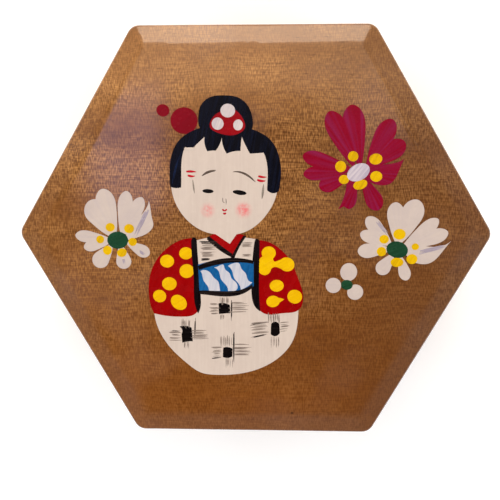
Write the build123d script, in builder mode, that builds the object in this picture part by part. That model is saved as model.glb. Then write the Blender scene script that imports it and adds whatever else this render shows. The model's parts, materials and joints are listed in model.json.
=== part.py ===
from build123d import *
import os
from math import cos, radians, sin, sqrt

# Hexagonal trinket box of figured chestnut with a hinged board lid.  The lid carries a painted
# doll and flowers, a mirror under it, and two brass butt hinges that join it to the box.
#
# Frame: millimetres, +Z up.  The origin is the middle of the felt sole that the box stands on.
# The hinges are at the back (+Y), the opening edge is at the front (-Y), and two of the
# hexagon's corners point left (-X) and right (+X).

# ---------------------------------------------------------------- driving dimensions

# Lid board
lid_across_flats = 123.0
lid_thickness = 10.0
lid_crown_width = 6.0  # the top falls away gently over this width all round
lid_crown_drop = 2.0
lid_crown_blend = 10.0  # radius where the fall starts
lid_crown_corner = 2.2  # corner radius at the top of the fall
lid_edge_round = 1.0  # softened edge at the foot of the fall
lid_under_round = 0.8  # softened lower edge
lid_corner_radius = 3.8
lid_overhang = 3.0  # how far the lid stands out past the box all round

# Box
side_height = 42.0
side_thickness = 8.0
box_corner_radius = 2.5
rebate_width = 4.0  # step under each side that the base panel is glued into
base_panel_thickness = 4.0
glue_line = 0.05

# Felt, velvet and card
sole_thickness = 1.5
sole_margin = 2.0
floor_pad_thickness = 5.0
wall_pad_thickness = 1.5
wall_pad_below_rim = 3.0

# Mirror
mirror_across_flats = 84.0
mirror_thickness = 2.0
mirror_card_thickness = 0.5
mirror_clearance = 0.2
bead_width = 3.2
bead_height = 1.5
bead_lap = 1.0  # how far the beads reach over the mirror's edge

# Hinges
hinge_spacing = 38.0
leaf_length = 20.0
leaf_reach = 6.6  # from the hinge axis to the leaf's free edge
leaf_thickness = 0.8
leaf_gap = 0.2  # between the two leaves when the lid is shut
barrel_radius = 1.5
knuckle_count = 5
knuckle_gap = 0.2
pin_radius = 0.75
pin_running_clearance = 0.05
pin_head_radius = 1.15
pin_head_thickness = 0.5
hinge_setback = 0.6  # from the back of the box out to the hinge axis
leaf_fit = 0.15
barrel_fit = 0.3

# Screws
screw_spacing = 12.0
screw_head_radius = 1.7
screw_shank_radius = 0.9
screw_length = 6.5
screw_fit = 0.05
screw_point_length = 1.6
screw_slot_width = 0.45
screw_slot_depth = 0.4
pilot_end_clearance = 0.5

# Painted film on the lid.  Its drawing is laid out for the lid size below and grows with the lid.
paint_thickness = 0.12
art_drawn_for_flats = 123.0
smallest_patch = 0.3  # square millimetres; flecks left between two colours aren't made

# ---------------------------------------------------------------- derived places

box_across_flats = lid_across_flats - 2 * lid_overhang
inner_across_flats = box_across_flats - 2 * side_thickness
sole_across_flats = box_across_flats - 2 * sole_margin
box_bottom = sole_thickness
floor_level = box_bottom + base_panel_thickness
rim_level = box_bottom + side_height
lid_top = rim_level + lid_thickness
back_face = box_across_flats / 2
hinge_axis_y = back_face + hinge_setback
mortise_depth = leaf_thickness + leaf_gap / 2
screw_row_y = hinge_axis_y - barrel_radius - (leaf_reach - barrel_radius) / 2
hinge_centres = (-hinge_spacing / 2, hinge_spacing / 2)
screw_places = [
    (hinge_x + offset, screw_row_y)
    for hinge_x in hinge_centres
    for offset in (-screw_spacing / 2, screw_spacing / 2)
]
barrel_room = leaf_length + 2 * (pin_head_thickness + knuckle_gap + barrel_fit)

half_sextant = 30  # degrees from the middle of a side to either of its corners

# Each side's name and the direction that it faces, in degrees from +X.
facings = {
    "front": 270,
    "front_right": 330,
    "back_right": 30,
    "back": 90,
    "back_left": 150,
    "front_left": 210,
}

os.makedirs("parts", exist_ok=True)


def write(name, shape):
    """Label a finished piece and write it as its own STEP file."""
    shape.label = name
    export_step(shape, f"parts/{name}.step")


# ---------------------------------------------------------------- shared shapes


def corner_point(across_flats, direction):
    """A hexagon's corner that lies in the given direction, in degrees from +X."""
    reach = across_flats / sqrt(3)
    return (reach * cos(radians(direction)), reach * sin(radians(direction)))


def hexagon(across_flats, level, corner_radius):
    """A level hexagon with flats to the front and back and softened corners."""
    with BuildSketch(Plane.XY.offset(level)) as outline:
        RegularPolygon(across_flats / 2, 6, major_radius=False)
        if corner_radius:
            fillet(vertices(), corner_radius)
    return outline.sketch


def hexagon_prism(across_flats, bottom, height, corner_radius):
    """A hexagonal board with flats to the front and back and softened upright corners."""
    with BuildPart() as prism:
        extrude(hexagon(across_flats, bottom, corner_radius), amount=height)
    return prism.part


def mitred_side(facing, across_flats, thickness, bottom, height, corner_radius):
    """One of six upright strips round a hexagon, its ends mitred on the corners."""
    inner_flats = across_flats - 2 * thickness
    with BuildPart() as strip:
        with BuildSketch(Plane.XY.offset(bottom)):
            with BuildLine():
                Polyline(
                    corner_point(across_flats, facing - half_sextant),
                    corner_point(across_flats, facing + half_sextant),
                    corner_point(inner_flats, facing + half_sextant),
                    corner_point(inner_flats, facing - half_sextant),
                    close=True,
                )
            make_face()
        extrude(amount=height)
        if corner_radius:
            add(
                hexagon_prism(across_flats, bottom, height, corner_radius),
                mode=Mode.INTERSECT,
            )
    return strip.part


def barrel_rod(radius, length, centre_x):
    """A round bar along the hinge axis, centred on centre_x."""
    with BuildPart() as rod:
        with BuildSketch(Plane.YZ.offset(centre_x)):
            with Locations((hinge_axis_y, rim_level)):
                Circle(radius)
        extrude(amount=length / 2, both=True)
    return rod.part


# ---------------------------------------------------------------- box sides


def hinge_recess(above_rim):
    """The wood cut away for both hinges, in the lid (above the rim) or in the back of the box."""
    rise = mortise_depth if above_rim else -mortise_depth
    leaf_front = hinge_axis_y - leaf_reach - leaf_fit
    with BuildPart() as recess:
        for hinge_x in hinge_centres:
            with BuildSketch(Plane.XY.offset(rim_level)):
                with Locations((hinge_x, (leaf_front + hinge_axis_y) / 2)):
                    Rectangle(leaf_length + 2 * leaf_fit, hinge_axis_y - leaf_front)
            extrude(amount=rise)
            add(barrel_rod(barrel_radius + barrel_fit, barrel_room, hinge_x))
            if above_rim:
                # The lid's back edge is open behind the barrel.
                open_depth = lid_overhang + barrel_radius
                with BuildSketch(Plane.XY.offset(rim_level)):
                    with Locations((hinge_x, hinge_axis_y + open_depth / 2)):
                        Rectangle(barrel_room, open_depth)
                extrude(amount=barrel_radius + barrel_fit)
    return recess.part


def screw_holes(above_rim):
    """Pilot holes for the four screws that hold one set of leaves."""
    reach = screw_length + pilot_end_clearance
    with BuildPart() as holes:
        with BuildSketch(Plane.XY.offset(rim_level)):
            with Locations(*screw_places):
                Circle(screw_shank_radius + screw_fit)
        extrude(amount=reach if above_rim else -reach)
    return holes.part


for place, facing in facings.items():
    with BuildPart() as side:
        add(
            mitred_side(
                facing,
                box_across_flats,
                side_thickness,
                box_bottom,
                side_height,
                box_corner_radius,
            )
        )
        add(
            hexagon_prism(
                inner_across_flats + 2 * rebate_width,
                box_bottom,
                base_panel_thickness,
                0,
            ),
            mode=Mode.SUBTRACT,
        )
        if place == "back":
            add(hinge_recess(above_rim=False), mode=Mode.SUBTRACT)
            add(screw_holes(above_rim=False), mode=Mode.SUBTRACT)
    write(f"side_{place}", side.part)

# ---------------------------------------------------------------- base, sole and lining

with BuildPart() as base_panel:
    with BuildSketch(Plane.XY.offset(box_bottom)):
        RegularPolygon(
            inner_across_flats / 2 + rebate_width - glue_line, 6, major_radius=False
        )
    extrude(amount=base_panel_thickness)
write("base_panel", base_panel.part)

with BuildPart() as felt_sole:
    with BuildSketch():
        RegularPolygon(sole_across_flats / 2, 6, major_radius=False)
        fillet(vertices(), box_corner_radius)
    extrude(amount=sole_thickness)
write("felt_sole", felt_sole.part)

with BuildPart() as floor_pad:
    with BuildSketch(Plane.XY.offset(floor_level)):
        RegularPolygon(inner_across_flats / 2 - glue_line, 6, major_radius=False)
    extrude(amount=floor_pad_thickness)
write("floor_pad", floor_pad.part)

wall_pad_bottom = floor_level + floor_pad_thickness
wall_pad_height = rim_level - wall_pad_below_rim - wall_pad_bottom
for place, facing in facings.items():
    with BuildPart() as wall_pad:
        add(
            mitred_side(
                facing,
                inner_across_flats - 2 * glue_line,
                wall_pad_thickness,
                wall_pad_bottom,
                wall_pad_height,
                0,
            )
        )
    write(f"wall_pad_{place}", wall_pad.part)

# ---------------------------------------------------------------- lid board


def level_edges(board, level):
    """The edges of a board that lie level at one height."""
    return board.edges().filter_by(Plane.XY).filter_by_position(Axis.Z, level, level)


crown_foot = lid_top - lid_crown_drop
mirror_pocket_depth = mirror_card_thickness + mirror_thickness
with BuildPart() as lid_board:
    body_height = lid_thickness - lid_crown_drop
    add(hexagon_prism(lid_across_flats, rim_level, body_height, lid_corner_radius))
    foot = hexagon(lid_across_flats, crown_foot, lid_corner_radius)
    brow = hexagon(lid_across_flats - 2 * lid_crown_width, lid_top, lid_crown_corner)
    loft([foot, brow], ruled=True)
    for level, radius in (
        (crown_foot, lid_edge_round),
        (lid_top, lid_crown_blend),
        (rim_level, lid_under_round),
    ):
        fillet(level_edges(lid_board, level), radius)
    with BuildSketch(Plane.XY.offset(rim_level)):
        RegularPolygon(mirror_across_flats / 2 + mirror_clearance, 6, major_radius=False)
    extrude(amount=mirror_pocket_depth, mode=Mode.SUBTRACT)
    add(hinge_recess(above_rim=True), mode=Mode.SUBTRACT)
    add(screw_holes(above_rim=True), mode=Mode.SUBTRACT)
write("lid_board", lid_board.part)

# ---------------------------------------------------------------- mirror

with BuildPart() as mirror_glass:
    with BuildSketch(Plane.XY.offset(rim_level)):
        RegularPolygon(mirror_across_flats / 2, 6, major_radius=False)
    extrude(amount=mirror_thickness)
write("mirror_glass", mirror_glass.part)

with BuildPart() as mirror_card:
    with BuildSketch(Plane.XY.offset(rim_level + mirror_thickness)):
        RegularPolygon(mirror_across_flats / 2, 6, major_radius=False)
    extrude(amount=mirror_card_thickness)
write("mirror_card", mirror_card.part)


def mirror_bead(facing):
    """One half-round bead under the lid, lapping the mirror's edge, mitred at both ends."""
    outer_flats = mirror_across_flats + 2 * (bead_width - bead_lap)
    across = Vector(cos(radians(facing)), sin(radians(facing)), 0)
    along = across.cross(Vector(0, 0, 1))
    section = Plane(origin=(0, 0, rim_level), x_dir=across, z_dir=along)
    middle = outer_flats / 2 - bead_width / 2
    with BuildPart() as bead:
        with BuildSketch(section):
            with BuildLine():
                foot = Line((middle - bead_width / 2, 0), (middle + bead_width / 2, 0))
                ThreePointArc(foot @ 0, (middle, -bead_height), foot @ 1)
            make_face()
        extrude(amount=outer_flats / 2, both=True)
        with BuildSketch(Plane.XY.offset(rim_level - bead_height)):
            with BuildLine():
                Polyline(
                    (0, 0),
                    corner_point(outer_flats, facing - half_sextant),
                    corner_point(outer_flats, facing + half_sextant),
                    close=True,
                )
            make_face()
        extrude(amount=bead_height, mode=Mode.INTERSECT)
    return bead.part


beads = Compound([mirror_bead(facing) for facing in facings.values()])
write("mirror_beads", beads)

# ---------------------------------------------------------------- hinges

knuckle_pitch = leaf_length / knuckle_count


def knuckle_centre(hinge_x, number):
    """Where a knuckle sits along the hinge, counted from its left end."""
    return hinge_x - leaf_length / 2 + knuckle_pitch * (number + 0.5)


def hinge_leaf(hinge_x, on_lid):
    """One brass leaf: a plate with its own knuckles, cut back round the other leaf's."""
    own = range(1, knuckle_count, 2) if on_lid else range(0, knuckle_count, 2)
    others = [n for n in range(knuckle_count) if n not in own]
    plate_start = leaf_gap / 2 if on_lid else -leaf_gap / 2
    plate_rise = leaf_thickness if on_lid else -leaf_thickness
    with BuildPart() as leaf:
        with BuildSketch(Plane.XY.offset(rim_level + plate_start)):
            with Locations((hinge_x, hinge_axis_y - leaf_reach / 2)):
                plate = Rectangle(leaf_length, leaf_reach)
            fillet(plate.vertices().group_by(Axis.Y)[0], leaf_thickness)
        extrude(amount=plate_rise)
        for number in others:
            room = barrel_rod(
                barrel_radius + pin_running_clearance,
                knuckle_pitch,
                knuckle_centre(hinge_x, number),
            )
            add(room, mode=Mode.SUBTRACT)
        for number in own:
            add(
                barrel_rod(
                    barrel_radius,
                    knuckle_pitch - knuckle_gap,
                    knuckle_centre(hinge_x, number),
                )
            )
        add(
            barrel_rod(pin_radius + pin_running_clearance, 2 * leaf_length, hinge_x),
            mode=Mode.SUBTRACT,
        )
        for screw_x in (hinge_x - screw_spacing / 2, hinge_x + screw_spacing / 2):
            add(countersink(screw_x, on_lid), mode=Mode.SUBTRACT)
    return leaf.part


def countersink(screw_x, on_lid):
    """The tapered hole that a screw head beds into, through the whole leaf."""
    open_face = rim_level + (leaf_gap / 2 if on_lid else -leaf_gap / 2)
    rise = leaf_thickness if on_lid else -leaf_thickness
    with BuildPart() as taper:
        with BuildSketch(Plane.XY.offset(open_face)):
            with Locations((screw_x, screw_row_y)):
                Circle(screw_head_radius + screw_fit)
        with BuildSketch(Plane.XY.offset(open_face + rise)):
            with Locations((screw_x, screw_row_y)):
                Circle(screw_shank_radius + screw_fit)
        loft()
    return taper.part


def wood_screw(place, on_lid):
    """A slotted countersunk brass screw, its head flush with the leaf's open face."""
    into = 1 if on_lid else -1
    head_level = rim_level + into * leaf_gap / 2
    head_centre = (place[0], place[1], head_level)
    axis_plane = Plane(origin=head_centre, x_dir=(1, 0, 0), z_dir=(0, -into, 0))
    with BuildPart() as screw:
        with BuildSketch(axis_plane):
            with BuildLine():
                Polyline(
                    (0, 0),
                    (screw_head_radius, 0),
                    (screw_shank_radius, leaf_thickness),
                    (screw_shank_radius, screw_length - screw_point_length),
                    (0, screw_length),
                    close=True,
                )
            make_face()
        revolve(axis=Axis(head_centre, (0, 0, 1)))
        with BuildSketch(Plane.XY.offset(head_level)):
            with Locations(place):
                Rectangle(2 * screw_head_radius, screw_slot_width)
        extrude(amount=into * screw_slot_depth, mode=Mode.SUBTRACT)
    return screw.part


for hinge_name, hinge_x in zip(("left", "right"), hinge_centres):
    write(f"hinge_{hinge_name}_box_leaf", hinge_leaf(hinge_x, on_lid=False))
    write(f"hinge_{hinge_name}_lid_leaf", hinge_leaf(hinge_x, on_lid=True))
    with BuildPart() as hinge_pin:
        add(barrel_rod(pin_radius, leaf_length + knuckle_gap, hinge_x))
        for end in (-1, 1):
            head_x = hinge_x + end * (leaf_length + knuckle_gap + pin_head_thickness) / 2
            add(barrel_rod(pin_head_radius, pin_head_thickness, head_x))
    write(f"hinge_{hinge_name}_pin", hinge_pin.part)

write("box_hinge_screws", Compound([wood_screw(place, on_lid=False) for place in screw_places]))
write("lid_hinge_screws", Compound([wood_screw(place, on_lid=True) for place in screw_places]))

# ---------------------------------------------------------------- painted decoration
#
# Brushed enamel on the flat of the lid.  Every patch is one film thick, and a colour that was
# painted over another is cut out of the one below, so the films lie side by side like inlay.
# All places are millimetres from the middle of the lid, to the right and towards the back.

art_scale = lid_across_flats / art_drawn_for_flats

# How the half-width of a brush press grows from its root (0) to its rounded end (1).
press_profile = ((0.25, 0.26), (0.5, 0.42), (0.76, 0.5), (0.94, 0.3))


def on_lid(point):
    """A drawn point, grown with the lid."""
    return (point[0] * art_scale, point[1] * art_scale)


def freehand(*runs):
    """One closed patch.  Each run is a smooth line, two points make it straight, and runs meet
    at corners.  A single run closes smoothly on itself."""
    with BuildSketch() as patch:
        with BuildLine():
            for run in runs:
                points = [on_lid(point) for point in run]
                if len(points) == 2:
                    Line(*points)
                else:
                    Spline(*points, periodic=len(runs) == 1)
        make_face()
    return patch.sketch


def dab(x, y, half_width, half_height, turn=0):
    """One round touch of the brush."""
    with BuildSketch() as patch:
        with Locations(Location((*on_lid((x, y)), 0), (0, 0, turn))):
            Ellipse(half_width * art_scale, half_height * art_scale)
    return patch.sketch


def press(root_x, root_y, tip_x, tip_y, width):
    """One press and pull of a round brush: narrow at its root and full at its tip."""
    root = Vector(root_x, root_y)
    stroke = Vector(tip_x, tip_y) - root
    aside = stroke.normalized().rotate(Axis.Z, 90) * width
    left = [root + stroke * t + aside * half for t, half in press_profile]
    right = [root + stroke * t - aside * half for t, half in reversed(press_profile)]
    points = [root, *left, root + stroke, *right, root]
    with BuildSketch() as patch:
        with BuildLine():
            Spline(*[on_lid((point.X, point.Y)) for point in points])
        make_face()
    return patch.sketch


def merged(patches):
    """Several patches of one colour as one sketch."""
    with BuildSketch() as colour:
        for patch in patches:
            add(patch)
    return colour.sketch


hair = merged(
    [
        # Bun
        freehand(
            [(-15.7, 36.3), (-14.8, 38.6), (-12.6, 40.4), (-8, 41), (-4, 40.3), (-1.4, 38.1),
             (0, 34.5), (-0.3, 31), (-4, 29.6), (-12, 29.6), (-15.4, 31.5), (-15.9, 34)],
        ),
        # Cap, its two side locks, and the fringe of three locks
        freehand(
            [(-14, 31.8), (-18.5, 30.3), (-22, 27.5), (-24, 23.2), (-24.6, 18), (-24.4, 14.2)],
            [(-24.4, 14.2), (-22.8, 13.8), (-21.2, 14)],
            [(-21.2, 14), (-21.1, 18), (-20.7, 23.5), (-19.8, 26.2)],
            [(-19.8, 26.2), (-19, 25.6), (-17.6, 25.7)],
            [(-17.6, 25.7), (-16.2, 27), (-14.1, 28.9)],
            [(-14.1, 28.9), (-14.1, 27), (-13.3, 24.7)],
            [(-13.3, 24.7), (-12, 24.9), (-10.8, 24.9)],
            [(-10.8, 24.9), (-9.8, 26.4), (-9, 28.7)],
            [(-9, 28.7), (-8.7, 26.5), (-7.6, 24)],
            [(-7.6, 24), (-5.8, 24.6), (-3.5, 24.8)],
            [(-3.5, 24.8), (-3.4, 26.8), (-3.1, 28.9)],
            [(-3.1, 28.9), (-2, 26.4), (-0.7, 24)],
            [(-0.7, 24), (1.2, 24.1), (3.3, 24.3)],
            [(3.3, 24.3), (4.2, 21.5), (4.5, 18), (4.3, 13.2)],
            [(4.3, 13.2), (6.4, 12.3), (7.8, 13)],
            [(7.8, 13), (8.4, 18), (7.7, 23.6), (5.6, 27.7), (2, 30.3), (-2, 31.6)],
            [(-2, 31.6), (-14, 31.8)],
        ),
    ]
)

hair_cloth = freehand(
    [(-10, 36), (-11.9, 34.2), (-12.5, 31.9), (-9.8, 30), (-4, 29.9), (-2.2, 31.5),
     (-2.9, 34.5), (-5, 36.8), (-7.3, 37.6)],
)
hair_spots = merged(
    [dab(-7.2, 36.6, 2.15, 2), dab(-10.2, 32.8, 1.75, 1.8, 10), dab(-4.2, 32.4, 1.4, 1.6, -8)]
)
bobbles = merged([dab(-20.1, 33.7, 4, 3.9), dab(-26.3, 36.7, 1.95, 1.8, -20)])

face = merged(
    [
        freehand(
            [(-24.2, 15), (-23.2, 10), (-20.4, 5.2), (-15.5, 1.3), (-11, 0)],
            [(-11, 0), (-6.8, -2.9)],
            [(-6.8, -2.9), (-4.8, 0)],
            [(-4.8, 0), (0.3, 2.1), (4.2, 6), (6.7, 10.6), (7.4, 15)],
            [(7.4, 15), (6.5, 25)],
            [(6.5, 25), (-22.5, 25)],
            [(-22.5, 25), (-24.2, 15)],
        ),
        # Forehead up to the gaps in the fringe
        freehand([(-17, 23), (-17, 29.3)], [(-17, 29.3), (-1, 29.3)], [(-1, 29.3), (3.5, 23)],
                 [(3.5, 23), (-17, 23)]),
    ]
)

eyes = merged([dab(-13.2, 12.9, 1.65, 0.62, -3), dab(-3.8, 12.5, 2.05, 0.7, -8)])

collar = freehand(
    [(-13.2, -0.8), (-11.3, 0.3)],
    [(-11.3, 0.3), (-6.9, -2.2)],
    [(-6.9, -2.2), (-4.4, 0.3)],
    [(-4.4, 0.3), (-2.2, -0.4)],
    [(-2.2, -0.4), (-6.1, -6.5)],
    [(-6.1, -6.5), (-13.2, -0.8)],
)

sleeves = merged(
    [
        freehand(
            [(-17.5, -1.3), (-20.5, -1.5), (-24.5, -3.4), (-28.5, -7.3), (-30.9, -12.5),
             (-31.4, -17.5), (-30.8, -22), (-29.8, -24.3)],
            [(-29.8, -24.3), (-26, -25), (-21, -25.2), (-17.8, -24.6), (-16.6, -23.4)],
            [(-16.6, -23.4), (-17.5, -1.3)],
        ),
        freehand(
            [(1.4, -1.8), (4.5, -2.2), (8.2, -4.4), (11.5, -8.3), (13.7, -13.5), (15.1, -18.5),
             (14.6, -21.8)],
            [(14.6, -21.8), (12.8, -23.4), (9, -23.9), (5.2, -24.4), (3.4, -24), (1.8, -22.4)],
            [(1.8, -22.4), (1.4, -1.8)],
        ),
    ]
)

sleeve_bands = merged(
    [
        freehand(
            [(-18.4, -2), (-17.6, -1), (-16.7, -1.6)],
            [(-16.7, -1.6), (-16.4, -7), (-15.9, -14), (-15.6, -21)],
            [(-15.6, -21), (-15.9, -22.8), (-16.5, -24.2)],
            [(-16.5, -24.2), (-17.4, -21.5), (-17.7, -14), (-18.2, -7), (-18.4, -2)],
        ),
        freehand(
            [(0.5, -2.6), (1.2, -1.3), (2.1, -2)],
            [(2.1, -2), (2, -8), (1.9, -15), (2.3, -23.4)],
            [(2.3, -23.4), (0.6, -21.8), (-0.3, -18.5), (-0.3, -13), (0, -7), (0.5, -2.6)],
        ),
    ]
)

sleeve_dots = merged(
    [
        dab(-20, -5.8, 2, 1.85),
        dab(-25.7, -8.2, 2.1, 1.95),
        dab(-19.8, -11.2, 2.2, 2.1, 20),
        dab(-25.1, -15.1, 2.2, 2),
        dab(-28.1, -18.9, 2, 1.9, -25),
        dab(-22.3, -20.8, 2.6, 2.1, -40),
        dab(4.8, -5.6, 2.1, 2),
        dab(3.5, -10.1, 2, 2.2, 15),
        dab(10.2, -9, 2.3, 2.1, -20),
        # Wet paint that ran between three of the dots
        freehand([(3.2, -6.4), (6, -6.6), (6.4, -8.1), (9, -7.6), (9.2, -10.3), (6.6, -9.8),
                  (4.8, -10.8), (2.8, -9.2)]),
        dab(7.2, -15.5, 2.1, 1.8, 5),
        dab(12.6, -18.8, 2.2, 2.1, -15),
        dab(6.1, -20.3, 2, 1.75, 10),
        press(9.4, -19.6, 5.8, -20.3, 2),
    ]
)

sash = freehand(
    [(-16.4, -9.2), (-11, -7.9), (-5, -7.6), (0.3, -8.4)],
    [(0.3, -8.4), (0.3, -15.6)],
    [(0.3, -15.6), (-4, -18), (-9, -18.4), (-16, -17.8)],
    [(-16, -17.8), (-16.4, -9.2)],
)
sash_waves = merged(
    [
        freehand(
            [(-15.7, -11.2), (-14, -10.9), (-12.6, -11.8), (-11.6, -13.2), (-10.4, -14.3),
             (-10, -15.8), (-9.8, -17.2)],
            [(-9.8, -17.2), (-13.2, -17.2)],
            [(-13.2, -17.2), (-13.7, -15.5), (-14.8, -13.9), (-15.1, -12.5), (-15.7, -11.2)],
        ),
        freehand(
            [(-11.7, -10), (-10.2, -9.6), (-8.8, -9.2), (-8.3, -10.5), (-7, -11.7),
             (-6.4, -13.2), (-5, -14.6), (-4.5, -16), (-5.4, -17.2)],
            [(-5.4, -17.2), (-7.4, -17.2)],
            [(-7.4, -17.2), (-8, -15.4), (-9.5, -13.6), (-9.9, -12), (-11.7, -10)],
        ),
        freehand(
            [(-7.4, -9.6), (-5.6, -8.7), (-4, -8.8), (-3.4, -10.3), (-2.1, -11.8),
             (-1.5, -13.6), (-0.1, -14.5)],
            [(-0.1, -14.5), (-1.6, -15.8), (-3.6, -16.8)],
            [(-3.6, -16.8), (-4.2, -15), (-5.6, -13.1), (-6, -11.6), (-7.4, -9.6)],
        ),
    ]
)

black_edges = merged(
    [
        # Above and below the sash
        freehand(
            [(-16.4, -9.6), (-11.5, -7.8), (-5.5, -7.1), (0.2, -7.9)],
            [(0.2, -7.9), (0.2, -8.9)],
            [(0.2, -8.9), (-5, -8.5), (-10, -9.1), (-16.2, -10.9)],
            [(-16.2, -10.9), (-16.4, -9.6)],
        ),
        freehand(
            [(-16, -17.1), (-8, -17.3), (-3, -16.6), (0, -15)],
            [(0, -15), (0, -16)],
            [(0, -16), (-3.4, -18.2), (-8.5, -18.9), (-16, -18.2)],
            [(-16, -18.2), (-16, -17.1)],
        ),
        # Along the collar
        freehand(
            [(-13.6, -0.9), (-12.9, -0.6)],
            [(-12.9, -0.6), (-10, -3), (-6, -5.9)],
            [(-6, -5.9), (-6.4, -6.9)],
            [(-6.4, -6.9), (-8.6, -5.7), (-11, -4), (-13.6, -1.6)],
            [(-13.6, -1.6), (-13.6, -0.9)],
        ),
        freehand(
            [(-2.8, -0.4), (-1.8, -0.5)],
            [(-1.8, -0.5), (-4, -4), (-5.5, -7.4)],
            [(-5.5, -7.4), (-6.7, -7.4)],
            [(-6.7, -7.4), (-5.4, -4.9), (-2.8, -0.4)],
        ),
    ]
)

kasuri_blocks = merged(
    [
        freehand([(-10.3, -21), (-8.6, -20.9), (-6.9, -21.5)], [(-6.9, -21.5), (-6.7, -24)],
                 [(-6.7, -24), (-8.4, -24.1), (-10.2, -24.3)], [(-10.2, -24.3), (-10.3, -21)]),
        freehand([(-22.2, -28.3), (-20.4, -28), (-18.5, -28.6)], [(-18.5, -28.6), (-18.2, -32.8)],
                 [(-18.2, -32.8), (-19.8, -32.9), (-21.4, -33.3)], [(-21.4, -33.3), (-21.6, -30.6)],
                 [(-21.6, -30.6), (-21.4, -29.3), (-22.2, -28.3)]),
        freehand([(-9, -34.7), (-7.6, -34.5), (-6.1, -35)], [(-6.1, -35), (-6.2, -37.4)],
                 [(-6.2, -37.4), (-7.6, -37.9), (-9.1, -37.6)], [(-9.1, -37.6), (-9, -34.7)]),
        freehand([(5.5, -27.3), (6.6, -26.5), (8, -27.2)], [(8, -27.2), (8.2, -30)],
                 [(8.2, -30), (6.7, -31), (5.4, -30.4)], [(5.4, -30.4), (5.5, -27.3)]),
    ]
)

kimono = merged(
    [
        freehand(
            [(-16.9, -1.9), (-13.3, -1)],
            [(-13.3, -1), (-2, -1)],
            [(-2, -1), (0.9, -1.4)],
            [(0.9, -1.4), (1.6, -22.4)],
            [(1.6, -22.4), (13.7, -22.8)],
            [(13.7, -22.8), (13.4, -27.5), (12, -32.5), (8.8, -36.8), (2.5, -40.9), (-5, -42.9),
             (-11, -43.2), (-15.6, -42.6), (-20, -39.7), (-25, -34.9), (-28.4, -29.5),
             (-29.8, -24)],
            [(-29.8, -24), (-16.7, -23)],
            [(-16.7, -23), (-16.9, -1.9)],
        ),
    ]
)

white_petals = merged(
    [
        # Left flower, clockwise from its upper left
        press(-42, -1.2, -48.8, 10, 7),
        press(-41, -1, -45, 13.5, 5.8),
        press(-39.4, -1, -37.5, 12.9, 4.4),
        press(-39, -1, -32.9, 11, 4.1),
        freehand(
            [(-38, -0.5), (-36.2, 2.9), (-34.2, 4.9), (-32.2, 7), (-30.9, 10)],
            [(-30.9, 10), (-30.5, 8), (-30.1, 5), (-29.7, 2.6), (-31.3, 0.4), (-34.4, -1),
             (-38, -2)],
            [(-38, -2), (-38, -0.5)],
        ),
        press(-38.2, -2.4, -31, -6.3, 3.7),
        press(-39.8, -3, -38.4, -10.6, 4.5),
        press(-42, -3, -47.4, -9.9, 5),
        press(-42, -2.2, -50.8, -4.2, 3.3),
        press(-42, -1.8, -53.3, -0.4, 3.6),
        # Right flower, clockwise from its top
        press(42.6, -3, 42.1, 9.7, 5.1),
        press(43.3, -3, 48.7, 10.4, 6.4),
        press(44, -3.8, 54.7, 4.7, 3.9),
        press(44, -4, 57.6, 0.9, 4.4),
        freehand(
            [(45.5, -3.4), (50, -3.2), (54.5, -3.5), (58.5, -1.8)],
            [(58.5, -1.8), (55.8, -5.3), (52.4, -8.4), (48.9, -8.5), (45.5, -6)],
            [(45.5, -6), (45.5, -3.4)],
        ),
        press(43.4, -5.6, 45.8, -13.6, 3.5),
        press(42, -5.4, 37.4, -11.7, 4.3),
        press(41.6, -4.2, 31.2, -5, 4.3),
        press(41.6, -3.2, 31.9, 0.5, 3.8),
        press(41.4, -3.2, 33.7, 5.2, 4.2),
        # Little flower
        dab(28.6, -11.2, 2.5, 2.7, -10),
        dab(24.1, -15.3, 2.3, 2.3),
        dab(30.6, -17.3, 2.4, 2.3, 30),
    ]
)

red_petals = merged(
    [
        press(30.2, 19.4, 22.4, 36.3, 6),
        press(31.6, 19.4, 28.9, 38.2, 6.5),
        press(33.2, 19.6, 40.9, 33.9, 5.7),
        press(33.2, 19.6, 44.5, 27.4, 5.6),
        freehand(
            [(32.6, 19.2), (37.5, 20.7), (41.5, 21.2), (44.4, 22.4)],
            [(44.4, 22.4), (42.6, 18.2), (40.6, 15.3), (37.6, 14.7), (32.6, 18)],
            [(32.6, 18), (32.6, 19.2)],
        ),
        press(32, 17.6, 37.3, 7.4, 5),
        freehand(
            [(27.7, 17.2), (27.4, 13), (26.5, 10), (25.3, 7.6)],
            [(25.3, 7.6), (26.9, 8.4)],
            [(26.9, 8.4), (28.3, 7.6)],
            [(28.3, 7.6), (30, 8.6), (30.8, 11.4), (31, 17.2)],
            [(31, 17.2), (27.7, 17.2)],
        ),
        press(29.4, 17.8, 19.7, 14, 4.8),
        press(29.6, 19.2, 15, 17.9, 4.2),
        press(29.6, 19.4, 14.8, 23.5, 4.6),
    ]
)

flower_centres = merged(
    [dab(-40.5, -1.9, 3.15, 2.6), dab(42.8, -4.4, 3.2, 2.45, -12), dab(28.1, -15.1, 1.75, 1.5)]
)
red_flower_centre = dab(31.1, 18.5, 3.5, 2.4, 28)

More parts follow.
